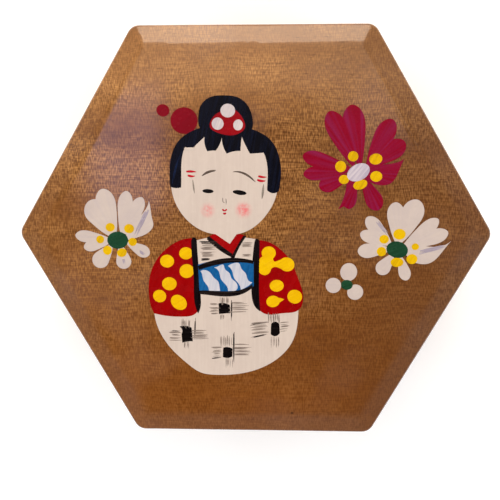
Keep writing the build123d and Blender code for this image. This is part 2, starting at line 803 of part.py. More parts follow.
flower_dots = merged(
    [
        dab(-42.7, 2, 1.4, 1.3),
        dab(-37, 1.6, 1.5, 1.4),
        dab(-45.8, -1.7, 1.2, 1.2),
        dab(-36, -2.4, 1.25, 1.25),
        dab(-43.7, -5, 1.35, 1.4),
        dab(-39.3, -5.7, 1.5, 1.3, 20),
        dab(43.4, 0.2, 1.8, 1.6),
        dab(38.9, -1.3, 1.4, 1.3),
        dab(48.1, -3.5, 1.1, 1),
        dab(38.2, -5, 1.4, 1.4),
        dab(47.2, -7.2, 1.6, 1.5),
        dab(42.8, -8.2, 1.9, 1.4),
        dab(29.5, 23.2, 1.5, 1.5),
        dab(36.1, 22.4, 1.9, 1.6, 10),
        dab(25.9, 20.2, 1.6, 1.65),
        dab(26.9, 16.4, 1.5, 1.35),
        dab(36.3, 17.3, 1.75, 1.55),
        dab(31.7, 14.9, 2.1, 1.4, 20),
    ]
)

# From the top film to the bottom one: each is cut back by all that stand before it.
paint_order = {
    "painted_hair_spots": hair_spots,
    "painted_hair_cloth": hair_cloth,
    "painted_hair": hair,
    "painted_bobbles": bobbles,
    "painted_eyes": eyes,
    "painted_face": face,
    "painted_black_edges": black_edges,
    "painted_collar": collar,
    "painted_sash_waves": sash_waves,
    "painted_sash": sash,
    "painted_sleeve_bands": sleeve_bands,
    "painted_sleeve_dots": sleeve_dots,
    "painted_sleeves": sleeves,
    "painted_kasuri_blocks": kasuri_blocks,
    "painted_kimono": kimono,
    "painted_flower_centres": flower_centres,
    "painted_red_flower_centre": red_flower_centre,
    "painted_flower_dots": flower_dots,
    "painted_white_petals": white_petals,
    "painted_red_petals": red_petals,
}

painted_before = []
for name, patch in paint_order.items():
    with BuildSketch() as visible:
        add(patch)
        for upper in painted_before:
            add(upper, mode=Mode.SUBTRACT)
    with BuildPart() as film:
        with BuildSketch(Plane.XY.offset(lid_top)):
            add(visible.faces().filter_by(lambda face: face.area > smallest_patch))
        extrude(amount=paint_thickness)
    write(name, film.part)
    painted_before.append(patch)
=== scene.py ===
"""A hexagonal wooden trinket box with a doll and flowers painted on its hinged lid.

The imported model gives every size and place. The classes below finish its boards, lining, mirror and
hinges, and lay the finest brush strokes over the painted films.
"""

import json
import logging
import math
import random
from collections.abc import Iterator
from contextlib import contextmanager
from dataclasses import dataclass, field, replace
from enum import Enum

import bpy
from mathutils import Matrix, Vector

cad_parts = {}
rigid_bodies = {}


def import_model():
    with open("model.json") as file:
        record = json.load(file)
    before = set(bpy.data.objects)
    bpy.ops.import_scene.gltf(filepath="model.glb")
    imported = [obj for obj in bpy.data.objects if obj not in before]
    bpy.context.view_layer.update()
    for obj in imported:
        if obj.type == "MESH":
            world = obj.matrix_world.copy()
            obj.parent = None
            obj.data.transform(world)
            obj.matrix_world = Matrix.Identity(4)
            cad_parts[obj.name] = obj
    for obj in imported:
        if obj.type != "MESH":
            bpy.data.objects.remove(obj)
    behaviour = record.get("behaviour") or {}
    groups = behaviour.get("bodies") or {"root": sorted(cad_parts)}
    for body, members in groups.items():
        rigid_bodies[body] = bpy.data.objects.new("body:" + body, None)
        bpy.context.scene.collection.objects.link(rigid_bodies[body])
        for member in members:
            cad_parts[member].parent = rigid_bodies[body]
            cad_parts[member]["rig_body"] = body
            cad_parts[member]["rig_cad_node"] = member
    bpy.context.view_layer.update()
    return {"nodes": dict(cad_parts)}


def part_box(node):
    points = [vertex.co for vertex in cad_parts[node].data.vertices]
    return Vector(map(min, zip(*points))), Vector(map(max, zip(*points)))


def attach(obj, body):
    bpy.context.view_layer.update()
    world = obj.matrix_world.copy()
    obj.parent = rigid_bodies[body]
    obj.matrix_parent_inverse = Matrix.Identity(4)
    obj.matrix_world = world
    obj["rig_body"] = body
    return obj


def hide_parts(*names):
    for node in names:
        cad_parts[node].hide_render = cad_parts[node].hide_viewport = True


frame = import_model()

MM = 0.001
SEED = 20
log = logging.getLogger("trinket_box")

Colour = tuple[float, float, float, float]
Point = tuple[float, float]


def linear(hex_colour: str) -> Colour:
    """Turn a screen colour into the linear colour that a shader takes.

    Args:
        hex_colour: An sRGB colour such as "#8A5528".

    Returns:
        Red, green and blue on a linear scale, and an opacity of one.
    """
    channels = [int(hex_colour[start:start + 2], 16) / 255 for start in (1, 3, 5)]
    red, green, blue = (c / 12.92 if c <= 0.04045 else ((c + 0.055) / 1.055) ** 2.4 for c in channels)
    return red, green, blue, 1.0


def add(tree: bpy.types.NodeTree, kind: str, inputs: dict | None = None, **settings) -> bpy.types.Node:
    """Add one node with its settings, values and links.

    Args:
        tree: The node tree that takes the node.
        kind: The node's type name.
        inputs: What goes into each socket, by name or number: a value, or a socket to link from.
        **settings: The node's own settings.

    Returns:
        The new node.
    """
    node = tree.nodes.new(kind)
    for name, value in settings.items():
        setattr(node, name, value)
    for socket, value in (inputs or {}).items():
        if isinstance(value, bpy.types.NodeSocket):
            tree.links.new(value, node.inputs[socket])
        else:
            node.inputs[socket].default_value = value
    return node


def blank(name: str) -> tuple[bpy.types.Material, bpy.types.NodeTree, bpy.types.Node]:
    """Start a material from an empty surface shader.

    Args:
        name: The material's name.

    Returns:
        The material, its node tree and its surface shader.
    """
    material = bpy.data.materials.new(name)
    material.use_nodes = True
    tree = material.node_tree
    tree.nodes.clear()
    surface = add(tree, "ShaderNodeBsdfPrincipled")
    add(tree, "ShaderNodeOutputMaterial", {"Surface": surface.outputs["BSDF"]})
    return material, tree, surface


def millimetres(tree: bpy.types.NodeTree, turn: float = 0.0) -> bpy.types.NodeSocket:
    """Measure the surface in millimetres, with the first axis along the grain or brush.

    Args:
        tree: The node tree.
        turn: The grain's direction, in degrees about the upright axis.

    Returns:
        The socket that gives each point's place.
    """
    place = add(tree, "ShaderNodeTexCoord")
    turned = add(
        tree,
        "ShaderNodeMapping",
        {
            "Vector": place.outputs["Object"],
            "Scale": (1 / MM, 1 / MM, 1 / MM),
            "Rotation": (0, 0, -math.radians(turn)),
        },
    )
    return turned.outputs["Vector"]


def marks(
    tree: bpy.types.NodeTree,
    place: bpy.types.NodeSocket,
    size: tuple[float, float, float],
    low: float = 0.3,
    high: float = 0.7,
    strength: float = 1.0,
    detail: float = 3.0,
) -> bpy.types.NodeSocket:
    """Scatter soft marks of a real size, such as grain lines, bristle lines or clouds.

    Args:
        tree: The node tree.
        place: The surface's place in millimetres.
        size: A mark's size in millimetres along each axis.
        low: The noise level where a mark starts.
        high: The noise level where a mark is full.
        strength: How strong a full mark is.
        detail: How many finer layers it has.

    Returns:
        The socket that gives the marks' strength.
    """
    stretched = add(
        tree,
        "ShaderNodeVectorMath",
        {0: place, 1: tuple(1 / side for side in size)},
        operation="MULTIPLY",
    )
    noise = add(tree, "ShaderNodeTexNoise", {"Vector": stretched.outputs[0], "Scale": 1.0, "Detail": detail})
    sharpened = add(
        tree,
        "ShaderNodeMapRange",
        {"Value": noise.outputs["Fac"], "From Min": low, "From Max": high, "To Max": strength},
    )
    return sharpened.outputs["Result"]


def spot(
    tree: bpy.types.NodeTree,
    centre: tuple[float, float, float],
    edge: float,
    core: float,
    strength: float,
    **settings,
) -> bpy.types.NodeSocket:
    """Give the share of a round spot that fades from its core to its edge.

    Args:
        tree: The node tree.
        centre: The spot's middle in millimetres.
        edge: The radius where it ends.
        core: The radius where it is full.
        strength: How strong it is when full.
        **settings: How it fades.

    Returns:
        The socket with its share.
    """
    apart = add(
        tree, "ShaderNodeVectorMath", {0: millimetres(tree), 1: centre}, operation="DISTANCE"
    ).outputs["Value"]
    limits = {"Value": apart, "From Min": edge, "From Max": core, "To Max": strength}
    return add(tree, "ShaderNodeMapRange", limits, **settings).outputs["Result"]


def layered(
    tree: bpy.types.NodeTree, base: str, layers: list[tuple[bpy.types.NodeSocket, str]]
) -> bpy.types.NodeSocket:
    """Lay colours over a base colour, each by its own share.

    Args:
        tree: The node tree.
        base: The colour underneath.
        layers: The share and the colour of each layer, from the lowest up.

    Returns:
        The socket with the finished colour.
    """
    tone: bpy.types.NodeSocket | Colour = linear(base)
    for share, colour in layers:
        mixed = add(tree, "ShaderNodeMix", {0: share, 6: tone, 7: linear(colour)}, data_type="RGBA")
        tone = mixed.outputs[2]
    return tone


def finished(
    tree: bpy.types.NodeTree, surface: bpy.types.Node, links: dict[str, bpy.types.NodeSocket], **fixed
) -> None:
    """Link what varies over a surface, and set what doesn't.

    Args:
        tree: The node tree.
        surface: The surface shader.
        links: The socket that drives each of the shader's inputs.
        **fixed: The shader's constant inputs, with underscores for the spaces in their names.
    """
    for socket, source in links.items():
        tree.links.new(source, surface.inputs[socket])
    for socket, value in fixed.items():
        surface.inputs[socket.replace("_", " ")].default_value = value


@dataclass(frozen=True)
class Fade:
    """A slow change of tone across a board: along which axis, from where to where, and to what."""

    axis: str
    start: float
    end: float
    tint: str
    strength: float


@dataclass(frozen=True)
class Speck:
    """A small dark dent in the varnish: its place on the lid and its radius in millimetres."""

    x: float
    y: float
    radius: float


@dataclass(frozen=True)
class StainedWood:
    """Real wood, stained and varnished: fine lines along the grain, crossed by a ripple and short pores, with
    optional painted sheen patches and slow fades of tone, some of them painted sheen and painted shade.
    """

    name: str
    dark: str
    middle: str
    light: str
    # painted sheen: the colour and strength of soft patches that stand in for a reflection in the varnish
    painted_sheen: str = "#86685E"
    painted_sheen_strength: float = 0.0
    fleck_strength: float = 0.9
    calm_below: float = -200.0
    lively_above: float = -100.0
    calm: float = 0.3
    # slow fades under the flecks, then over them; on the lid they include a painted sheen and a painted shade
    painted_sheen_and_tone_fades: tuple[Fade, ...] = ()
    painted_shade_and_tone_fades: tuple[Fade, ...] = ()
    specks: tuple[Speck, ...] = ()
    roughness: float = 0.3
    coat: float = 1.0
    coat_roughness: float = 0.1
    turn: float = 0.0

    def along(self, turn: float, name: str) -> "StainedWood":
        """Give the same wood with its grain turned."""
        return replace(self, turn=turn, name=name)

    def build(self) -> bpy.types.Material:
        """Make the material.

        Returns:
            The stained wood.
        """
        # Clear varnish over brown stain: it gives a warm, slightly woven brown under a smooth gloss.
        material, tree, surface = blank(self.name)
        straight = millimetres(tree, self.turn)
        wander = add(tree, "ShaderNodeTexNoise", {"Vector": straight, "Scale": 0.035, "Detail": 2.0})
        place = add(
            tree,
            "ShaderNodeVectorMath",
            {0: wander.outputs["Color"], 1: (2.0, 4.5, 4.5), 2: straight},
            operation="MULTIPLY_ADD",
        ).outputs[0]
        # Each mark's size is in millimetres along the grain, then across it.
        bands = marks(tree, place, (75.0, 7.0, 7.0), 0.36, 0.64, 1.0)
        lines = marks(tree, place, (6.0, 0.4, 0.4), 0.35, 0.65, 1.0, 2.0)
        ripple = marks(tree, place, (0.26, 1.3, 1.3), 0.35, 0.65, 1.0, 0.0)
        pores = marks(tree, place, (2.2, 0.22, 0.22), 0.64, 0.74, 0.5, 1.0)
        glints = marks(tree, place, (24.0, 16.0, 16.0), 0.25, 0.6, self.fleck_strength, 2.0)
        # painted sheen: large soft patches where the varnish's reflection is painted into the colour
        painted_sheen_patches = marks(tree, place, (26.0, 20.0, 20.0), 0.5, 0.72, self.painted_sheen_strength, 2.0)
        crossed = add(tree, "ShaderNodeMix", {0: 0.58, 2: lines, 3: ripple}).outputs[0]
        figure = add(tree, "ShaderNodeMix", {0: 0.15, 2: crossed, 3: bands}).outputs[0]
        flecks = add(tree, "ShaderNodeMath", {0: crossed, 1: 1.6}, operation="POWER").outputs[0]
        upright = add(tree, "ShaderNodeSeparateXYZ", {0: straight})
        lively = add(
            tree,
            "ShaderNodeMapRange",
            {
                "Value": upright.outputs["Y"],
                "From Min": self.calm_below,
                "From Max": self.lively_above,
                "To Min": self.calm,
            },
        )
        for share in (glints, lively.outputs["Result"]):
            flecks = add(tree, "ShaderNodeMath", {0: flecks, 1: share}, operation="MULTIPLY").outputs[0]
        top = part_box("lid_board")[1].z / MM
        # On the lid the layers carry painted light: the sheen patches are a painted reflection, and the fades
        # hold a painted sheen at the back and painted shade towards the front besides plain changes of tone.
        layers = [
            (figure, self.middle),
            *((self.faded(tree, straight, fade), fade.tint) for fade in self.painted_sheen_and_tone_fades),
            (painted_sheen_patches, self.painted_sheen),
            (flecks, self.light),
            *((self.faded(tree, straight, shade), shade.tint) for shade in self.painted_shade_and_tone_fades),
            (pores, self.dark),
            *(
                (spot(tree, (speck.x, speck.y, top), speck.radius, speck.radius * 0.4, 0.75), "#2A1508")
                for speck in self.specks
            ),
        ]
        relief = add(tree, "ShaderNodeBump", {"Height": crossed, "Strength": 0.2, "Distance": 0.03 * MM})
        worn = marks(tree, straight, (14.0, 14.0, 14.0), 0.35, 0.75, 0.08, 3.0)
        rough = add(tree, "ShaderNodeMath", {0: worn, 1: self.roughness}, operation="ADD")
        finished(
            tree,
            surface,
            {
                "Base Color": layered(tree, self.dark, layers),
                "Roughness": rough.outputs[0],
                "Normal": relief.outputs["Normal"],
            },
            IOR=1.5,
            Specular_IOR_Level=0.25,
            Coat_Weight=self.coat,
            Coat_Roughness=self.coat_roughness,
        )
        return material

    @staticmethod
    def faded(tree: bpy.types.NodeTree, place: bpy.types.NodeSocket, fade: Fade) -> bpy.types.NodeSocket:
        """Give the share of a slow fade at each point.

        Args:
            tree: The node tree.
            place: The surface's place in millimetres.
            fade: The fade.

        Returns:
            The socket with its share.
        """
        sides = add(tree, "ShaderNodeSeparateXYZ", {0: place})
        return add(
            tree,
            "ShaderNodeMapRange",
            {
                "Value": sides.outputs[fade.axis],
                "From Min": fade.start,
                "From Max": fade.end,
                "To Max": fade.strength,
            },
        ).outputs["Result"]


@dataclass(frozen=True)
class Blush:
    """A soft round of rouge on a cheek: its place on the lid, its radius and its strength."""

    x: float
    y: float
    radius: float
    strength: float


@dataclass(frozen=True)
class BrushedEnamel:
    """Gloss enamel laid on with a soft brush, so that bristle lines and thin places show in it."""

    name: str
    colour: str
    thin: str
    streak: str
    streak_strength: float = 0.25
    bristle: float = 0.55
    turn: float = 0.0
    centres: tuple[Point, ...] = ()
    blushes: tuple[Blush, ...] = ()
    roughness: float = 0.2
    coat: float = 0.03

    def from_centres(self, tree: bpy.types.NodeTree, place: bpy.types.NodeSocket) -> bpy.types.NodeSocket:
        """Turn the place so that the brush runs out from the nearest flower's centre.

        Args:
            tree: The node tree.
            place: The surface's place in millimetres.

        Returns:
            The way out from the centre, and the way round it at about a petal's middle.
        """
        apart = add(tree, "ShaderNodeSeparateXYZ", {0: place})
        middle: bpy.types.NodeSocket | tuple[float, float, float] = (*self.centres[0], 0.0)
        for before, after in zip(self.centres, self.centres[1:]):
            past = add(
                tree,
                "ShaderNodeMath",
                {0: apart.outputs["X"], 1: (before[0] + after[0]) / 2},
                operation="GREATER_THAN",
            )
            middle = add(
                tree,
                "ShaderNodeMix",
                {0: past.outputs[0], 4: middle, 5: (*after, 0.0)},
                data_type="VECTOR",
            ).outputs[1]
        out = add(tree, "ShaderNodeVectorMath", {0: place, 1: middle}, operation="SUBTRACT")
        ways = add(tree, "ShaderNodeSeparateXYZ", {0: out.outputs[0]})
        angle = add(
            tree, "ShaderNodeMath", {0: ways.outputs["Y"], 1: ways.outputs["X"]}, operation="ARCTAN2"
        )
        far = add(tree, "ShaderNodeVectorMath", {0: out.outputs[0]}, operation="LENGTH")
        petal_middle = 8.0
        around = add(tree, "ShaderNodeMath", {0: angle.outputs[0], 1: petal_middle}, operation="MULTIPLY")
        return add(
            tree, "ShaderNodeCombineXYZ", {"X": far.outputs["Value"], "Y": around.outputs[0]}
        ).outputs[0]

    def build(self) -> bpy.types.Material:
        """Make the material.

        Returns:
            The brushed enamel.
        """
        # Alkyd enamel, brushed thin: a full colour with paler and deeper bristle lines and a low gloss.
        material, tree, surface = blank(self.name)
        flat = millimetres(tree, self.turn)
        place = self.from_centres(tree, flat) if self.centres else flat
        thick = marks(tree, flat, (7.0, 5.0, 5.0), 0.35, 0.7, 0.55, 2.0)
        bristle = (9.0, self.bristle, self.bristle)
        bristles = marks(tree, place, bristle, 0.42, 0.72, self.streak_strength, 3.0)
        fine = marks(tree, place, (4.0, 0.22, 0.22), 0.3, 0.75, 1.0, 2.0)
        layers = [(thick, self.thin), (bristles, self.streak)]
        for cheek in self.blushes:
            centre = (cheek.x, cheek.y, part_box("painted_face")[1].z / MM)
            edge, core = cheek.radius * 1.35, cheek.radius * 0.2
            soft = spot(tree, centre, edge, core, cheek.strength, interpolation_type="SMOOTHSTEP")
            mottle = marks(tree, flat, (0.7, 0.7, 0.7), 0.2, 0.62, 1.0, 3.0)
            rouge = add(tree, "ShaderNodeMath", {0: soft, 1: mottle}, operation="MULTIPLY")
            layers.append((rouge.outputs[0], "#DE5A62"))
        relief = add(tree, "ShaderNodeBump", {"Height": fine, "Strength": 0.35, "Distance": 0.02 * MM})
        matt = marks(tree, flat, (3.0, 3.0, 3.0), 0.3, 0.7, 0.12, 2.0)
        rough = add(tree, "ShaderNodeMath", {0: matt, 1: self.roughness}, operation="ADD")
        finished(
            tree,
            surface,
            {
                "Base Color": layered(tree, self.colour, layers),
                "Roughness": rough.outputs[0],
                "Normal": relief.outputs["Normal"],
            },
            IOR=1.48,
            Specular_IOR_Level=0.15,
            Coat_Weight=self.coat,
            Coat_Roughness=0.2,
        )
        return material


@dataclass(frozen=True)
class Cloth:
    """A soft fabric: a short velvet pile or a pressed wool felt."""

    name: str
    colour: str
    shade: str
    tip: str
    nap: float
    fibre: float
    sheen: float
    depth: float

    def build(self) -> bpy.types.Material:
        """Make the material.

        Returns:
            The fabric.
        """
        # Fibres stand on the surface: no gloss, brushed patches where they lean, and a pale edge sheen.
        material, tree, surface = blank(self.name)
        place = millimetres(tree)
        leaning = marks(tree, place, (self.nap, self.nap * 0.6, self.nap), 0.35, 0.7, 0.75, 3.0)
        fibres = marks(tree, place, (self.fibre, self.fibre, self.fibre * 1.6), 0.35, 0.7, 1.0, 4.0)
        speckle = add(tree, "ShaderNodeMath", {0: fibres, 1: 0.45}, operation="MULTIPLY").outputs[0]
        base = layered(tree, self.shade, [(leaning, self.colour), (speckle, self.tip)])
        relief = add(
            tree, "ShaderNodeBump", {"Height": fibres, "Strength": 0.7, "Distance": self.depth * MM}
        )
        finished(
            tree,
            surface,
            {"Base Color": base, "Normal": relief.outputs["Normal"]},
            Roughness=0.95,
            Specular_IOR_Level=0.15,
            Sheen_Weight=self.sheen,
            Sheen_Roughness=0.35,
            Sheen_Tint=linear(self.tip),
        )
        return material


@dataclass(frozen=True)
class Metal:
    """A bare metal or a silvered mirror: a bright colour with a duller film over parts of it."""

    name: str
    bright: str
    dull: str
    film: float
    patch: float
    smooth: float
    rough: float

    def build(self) -> bpy.types.Material:
        """Make the material.

        Returns:
            The metal.
        """
        # Reflection takes the metal's own colour, and the film both darkens and spreads it.
        material, tree, surface = blank(self.name)
        place = millimetres(tree)
        tarnish = marks(tree, place, (self.patch, self.patch, self.patch), 0.35, 0.7, self.film, 4.0)
        scratch = marks(tree, place, (3.0, 0.15, 0.15), 0.5, 0.8, 1.0, 2.0)
        colour = layered(tree, self.bright, [(tarnish, self.dull)])
        spread = add(
            tree,
            "ShaderNodeMapRange",
            {"Value": tarnish, "To Min": self.smooth, "To Max": self.rough},
        )
        relief = add(
            tree,
            "ShaderNodeBump",
            {"Height": scratch, "Strength": 0.2 * self.film, "Distance": 0.01 * MM},
        )
        finished(
            tree,
            surface,
            {
                "Base Color": colour,
                "Roughness": spread.outputs["Result"],
                "Normal": relief.outputs["Normal"],
            },
            Metallic=1.0,
        )
        return material


@dataclass(frozen=True)
class Plain:
    """An uncoated matt stock, such as grey board or a studio table: two close tones and a faint tooth."""

    name: str
    tone: str
    fleck: str
    size: tuple[float, float, float]
    depth: float
    glow: float = 0.0

    def build(self) -> bpy.types.Material:
        """Make the material.

        Returns:
            The matt stock.
        """
        # Pressed fibres: matt all over, with short flecks of a second tone.
        material, tree, surface = blank(self.name)
        place = millimetres(tree)
        flecks = marks(tree, place, self.size, 0.4, 0.7, 0.6, 3.0)
        colour = layered(tree, self.tone, [(flecks, self.fleck)])
        relief = add(
            tree, "ShaderNodeBump", {"Height": flecks, "Strength": 0.3, "Distance": self.depth * MM}
        )
        finished(
            tree,
            surface,
            {"Base Color": colour, "Normal": relief.outputs["Normal"]},
            Roughness=0.85,
            Emission_Color=linear(self.tone),
            Emission_Strength=self.glow,
        )
        return material


def alone(*chosen: bpy.types.Object) -> None:
    """Select only these objects, with the first of them active."""
    bpy.ops.object.select_all(action="DESELECT")
    for piece in chosen:
        piece.select_set(True)
    bpy.context.view_layer.objects.active = chosen[0]


@contextmanager
def editing(piece: bpy.types.Object) -> Iterator[None]:
    """Hold a piece in edit mode with its whole mesh selected.

    Args:
        piece: The piece.
    """
    alone(piece)
    bpy.ops.object.mode_set(mode="EDIT")
    bpy.ops.mesh.select_all(action="SELECT")
    yield
    bpy.ops.object.mode_set(mode="OBJECT")


def applied(piece: bpy.types.Object, kind: str, **settings) -> None:
    """Add one modifier to a piece and apply it.

    Args:
        piece: The piece.
        kind: The modifier's type name.
        **settings: The modifier's settings.
    """
    alone(piece)
    bpy.ops.object.modifier_add(type=kind)
    modifier = piece.modifiers[-1]
    for name, value in settings.items():
        setattr(modifier, name, value)
    bpy.ops.object.modifier_apply(modifier=modifier.name)


def copy_of(node: str, name: str) -> bpy.types.Object:
    """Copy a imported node's mesh, merged and with its flat faces whole.

    Args:
        node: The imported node.
        name: The copy's name.

    Returns:
        The copy, free of its body.
    """
    source = frame["nodes"][node]
    alone(source)
    bpy.ops.object.duplicate(linked=False)
    piece = bpy.context.object
    piece.name = piece.data.name = name
    piece.parent = None
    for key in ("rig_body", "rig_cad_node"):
        if key in piece:
            del piece[key]
    with editing(piece):
        bpy.ops.mesh.customdata_custom_splitnormals_clear()
        bpy.ops.mesh.remove_doubles(threshold=0.002 * MM)
        bpy.ops.mesh.dissolve_limited(angle_limit=math.radians(0.4))
    return piece


def smoothed(piece: bpy.types.Object, angle: float = 32.0) -> None:
    """Round the shading over gentle edges and keep the flat faces flat.

    Args:
        piece: The piece.
        angle: The sharpest edge that still looks round, in degrees.
    """
    alone(piece)
    bpy.ops.object.shade_smooth_by_angle(angle=math.radians(angle))
    applied(piece, "WEIGHTED_NORMAL", keep_sharp=True)


def eased(piece: bpy.types.Object, width: float, segments: int = 2, angle: float = 40.0) -> None:
    """Round a piece's sharp edges.

    Args:
        piece: The piece.
        width: How far the rounding reaches, in millimetres.
        segments: How many faces it has.
        angle: The gentlest edge that is rounded, in degrees.
    """
    limit = math.radians(angle)
    applied(
        piece, "BEVEL", width=width * MM, segments=segments, limit_method="ANGLE", angle_limit=limit
    )


def dress(piece: bpy.types.Object, material: bpy.types.Material) -> None:
    """Give a piece one material in place of all it had."""
    piece.data.materials.clear()
    piece.data.materials.append(material)


def settle(
    piece: bpy.types.Object,
    material: bpy.types.Material,
    body: str,
    stands_for: tuple[str, ...] = (),
) -> None:
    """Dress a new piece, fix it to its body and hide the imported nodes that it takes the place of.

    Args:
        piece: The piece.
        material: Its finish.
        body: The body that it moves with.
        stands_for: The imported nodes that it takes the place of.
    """
    dress(piece, material)
    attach(piece, body)
    if stands_for:
        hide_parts(*stands_for)
    log.info("%s: %d faces, on %s", piece.name, len(piece.data.polygons), body)


def body_of(node: str) -> str:
    """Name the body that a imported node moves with."""
    return frame["nodes"][node]["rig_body"]


CHESTNUT = StainedWood(name="lacquered_chestnut", dark="#4E2A0A", middle="#7E4A16", light="#BC8038")
LID_CHESTNUT = replace(
    CHESTNUT,
    name="lacquered_chestnut_lid",
    light="#C89256",
    # painted sheen: purple-grey reflection patches over the lid
    painted_sheen_strength=0.25,
    calm_below=-45.0,
    lively_above=30.0,
    # the Y fade is a painted sheen, a paler band at the back where the varnish reflects; the X fade only
    # makes the board lighter towards the left
    painted_sheen_and_tone_fades=(Fade("Y", 30.0, 46.0, "#A47448", 0.55), Fade("X", -20.0, -60.0, "#8E5C2C", 0.3)),
    # the Y shade is painted shade, the board darker towards the front; the X shade only makes it darker
    # towards the right
    painted_shade_and_tone_fades=(Fade("Y", 0.0, -50.0, "#7E4204", 0.45), Fade("X", 0.0, 50.0, "#5C3618", 0.55)),
    specks=(Speck(11.9, -55.0, 0.55), Speck(-13.4, 59.0, 0.35)),
)
BEAD_WOOD = StainedWood(
    name="stained_bead_wood", dark="#2E160A", middle="#4C2A13", light="#6E4220", coat=0.5, coat_roughness=0.2
)
BIRCH_PLY = StainedWood(
    name="bare_birch_ply",
    dark="#A98453",
    middle="#C7A470",
    light="#D8BC8C",
    fleck_strength=0.4,
    coat=0.0,
    roughness=0.6,
)
VELVET = Cloth("crimson_velvet", "#7E0F1C", "#4C0610", "#C24A55", nap=9.0, fibre=0.25, sheen=0.8, depth=0.12)
FELT = Cloth("green_wool_felt", "#23482F", "#17331F", "#5C7D63", nap=5.0, fibre=0.35, sheen=0.35, depth=0.15)
BRASS = Metal("tarnished_brass", "#D2AC58", "#8A6A33", film=0.6, patch=2.5, smooth=0.22, rough=0.45)
MIRROR = Metal("silvered_glass", "#DDE3E2", "#C9D2D0", film=0.35, patch=16.0, smooth=0.02, rough=0.1)
GREY_BOARD = Plain("grey_board", "#8F8777", "#756C5C", (1.6, 0.3, 0.3), 0.05)


@dataclass
class Carcass:
    """The six mitred sides and the panel that they hold."""

    edge_round: float = 0.5
    grain: dict[str, float] = field(
        default_factory=lambda: {
            "side_front": 0.0,
            "side_back": 0.0,
            "side_front_right": 60.0,
            "side_back_left": 60.0,
            "side_front_left": -60.0,
            "side_back_right": -60.0,
        }
    )

    def build(self) -> None:
        """Ease the sides' edges, and give each its own run of grain."""
        for node, turn in self.grain.items():
            board = copy_of(node, f"{node}_board")
            eased(board, self.edge_round)
            smoothed(board)
            wood = CHESTNUT.along(turn, f"lacquered_chestnut_{node}")
            settle(board, wood.build(), "box", (node,))
        panel = frame["nodes"]["base_panel"]
        dress(panel, BIRCH_PLY.build())
        log.info("base_panel: packed mesh, %s", BIRCH_PLY.name)


@dataclass
class FeltSole:
    """The felt under the box, a little soft at its edge."""

    edge_round: float = 0.45
    waviness: float = 0.12

    def build(self) -> None:
        """Round the felt's edge and let its surface wander a little."""
        low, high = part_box("felt_sole")
        felt = copy_of("felt_sole", "felt_sheet")
        eased(felt, self.edge_round, segments=3)
        draw = random.Random(SEED)
        for vertex in felt.data.vertices:
            inwards = Vector((-vertex.co.x, -vertex.co.y, 0)).normalized()
            if vertex.co.z < high.z - self.edge_round * MM / 2:
                vertex.co += inwards * draw.random() * self.waviness * MM
        smoothed(felt, 50.0)
        settle(felt, FELT.build(), "box", ("felt_sole",))


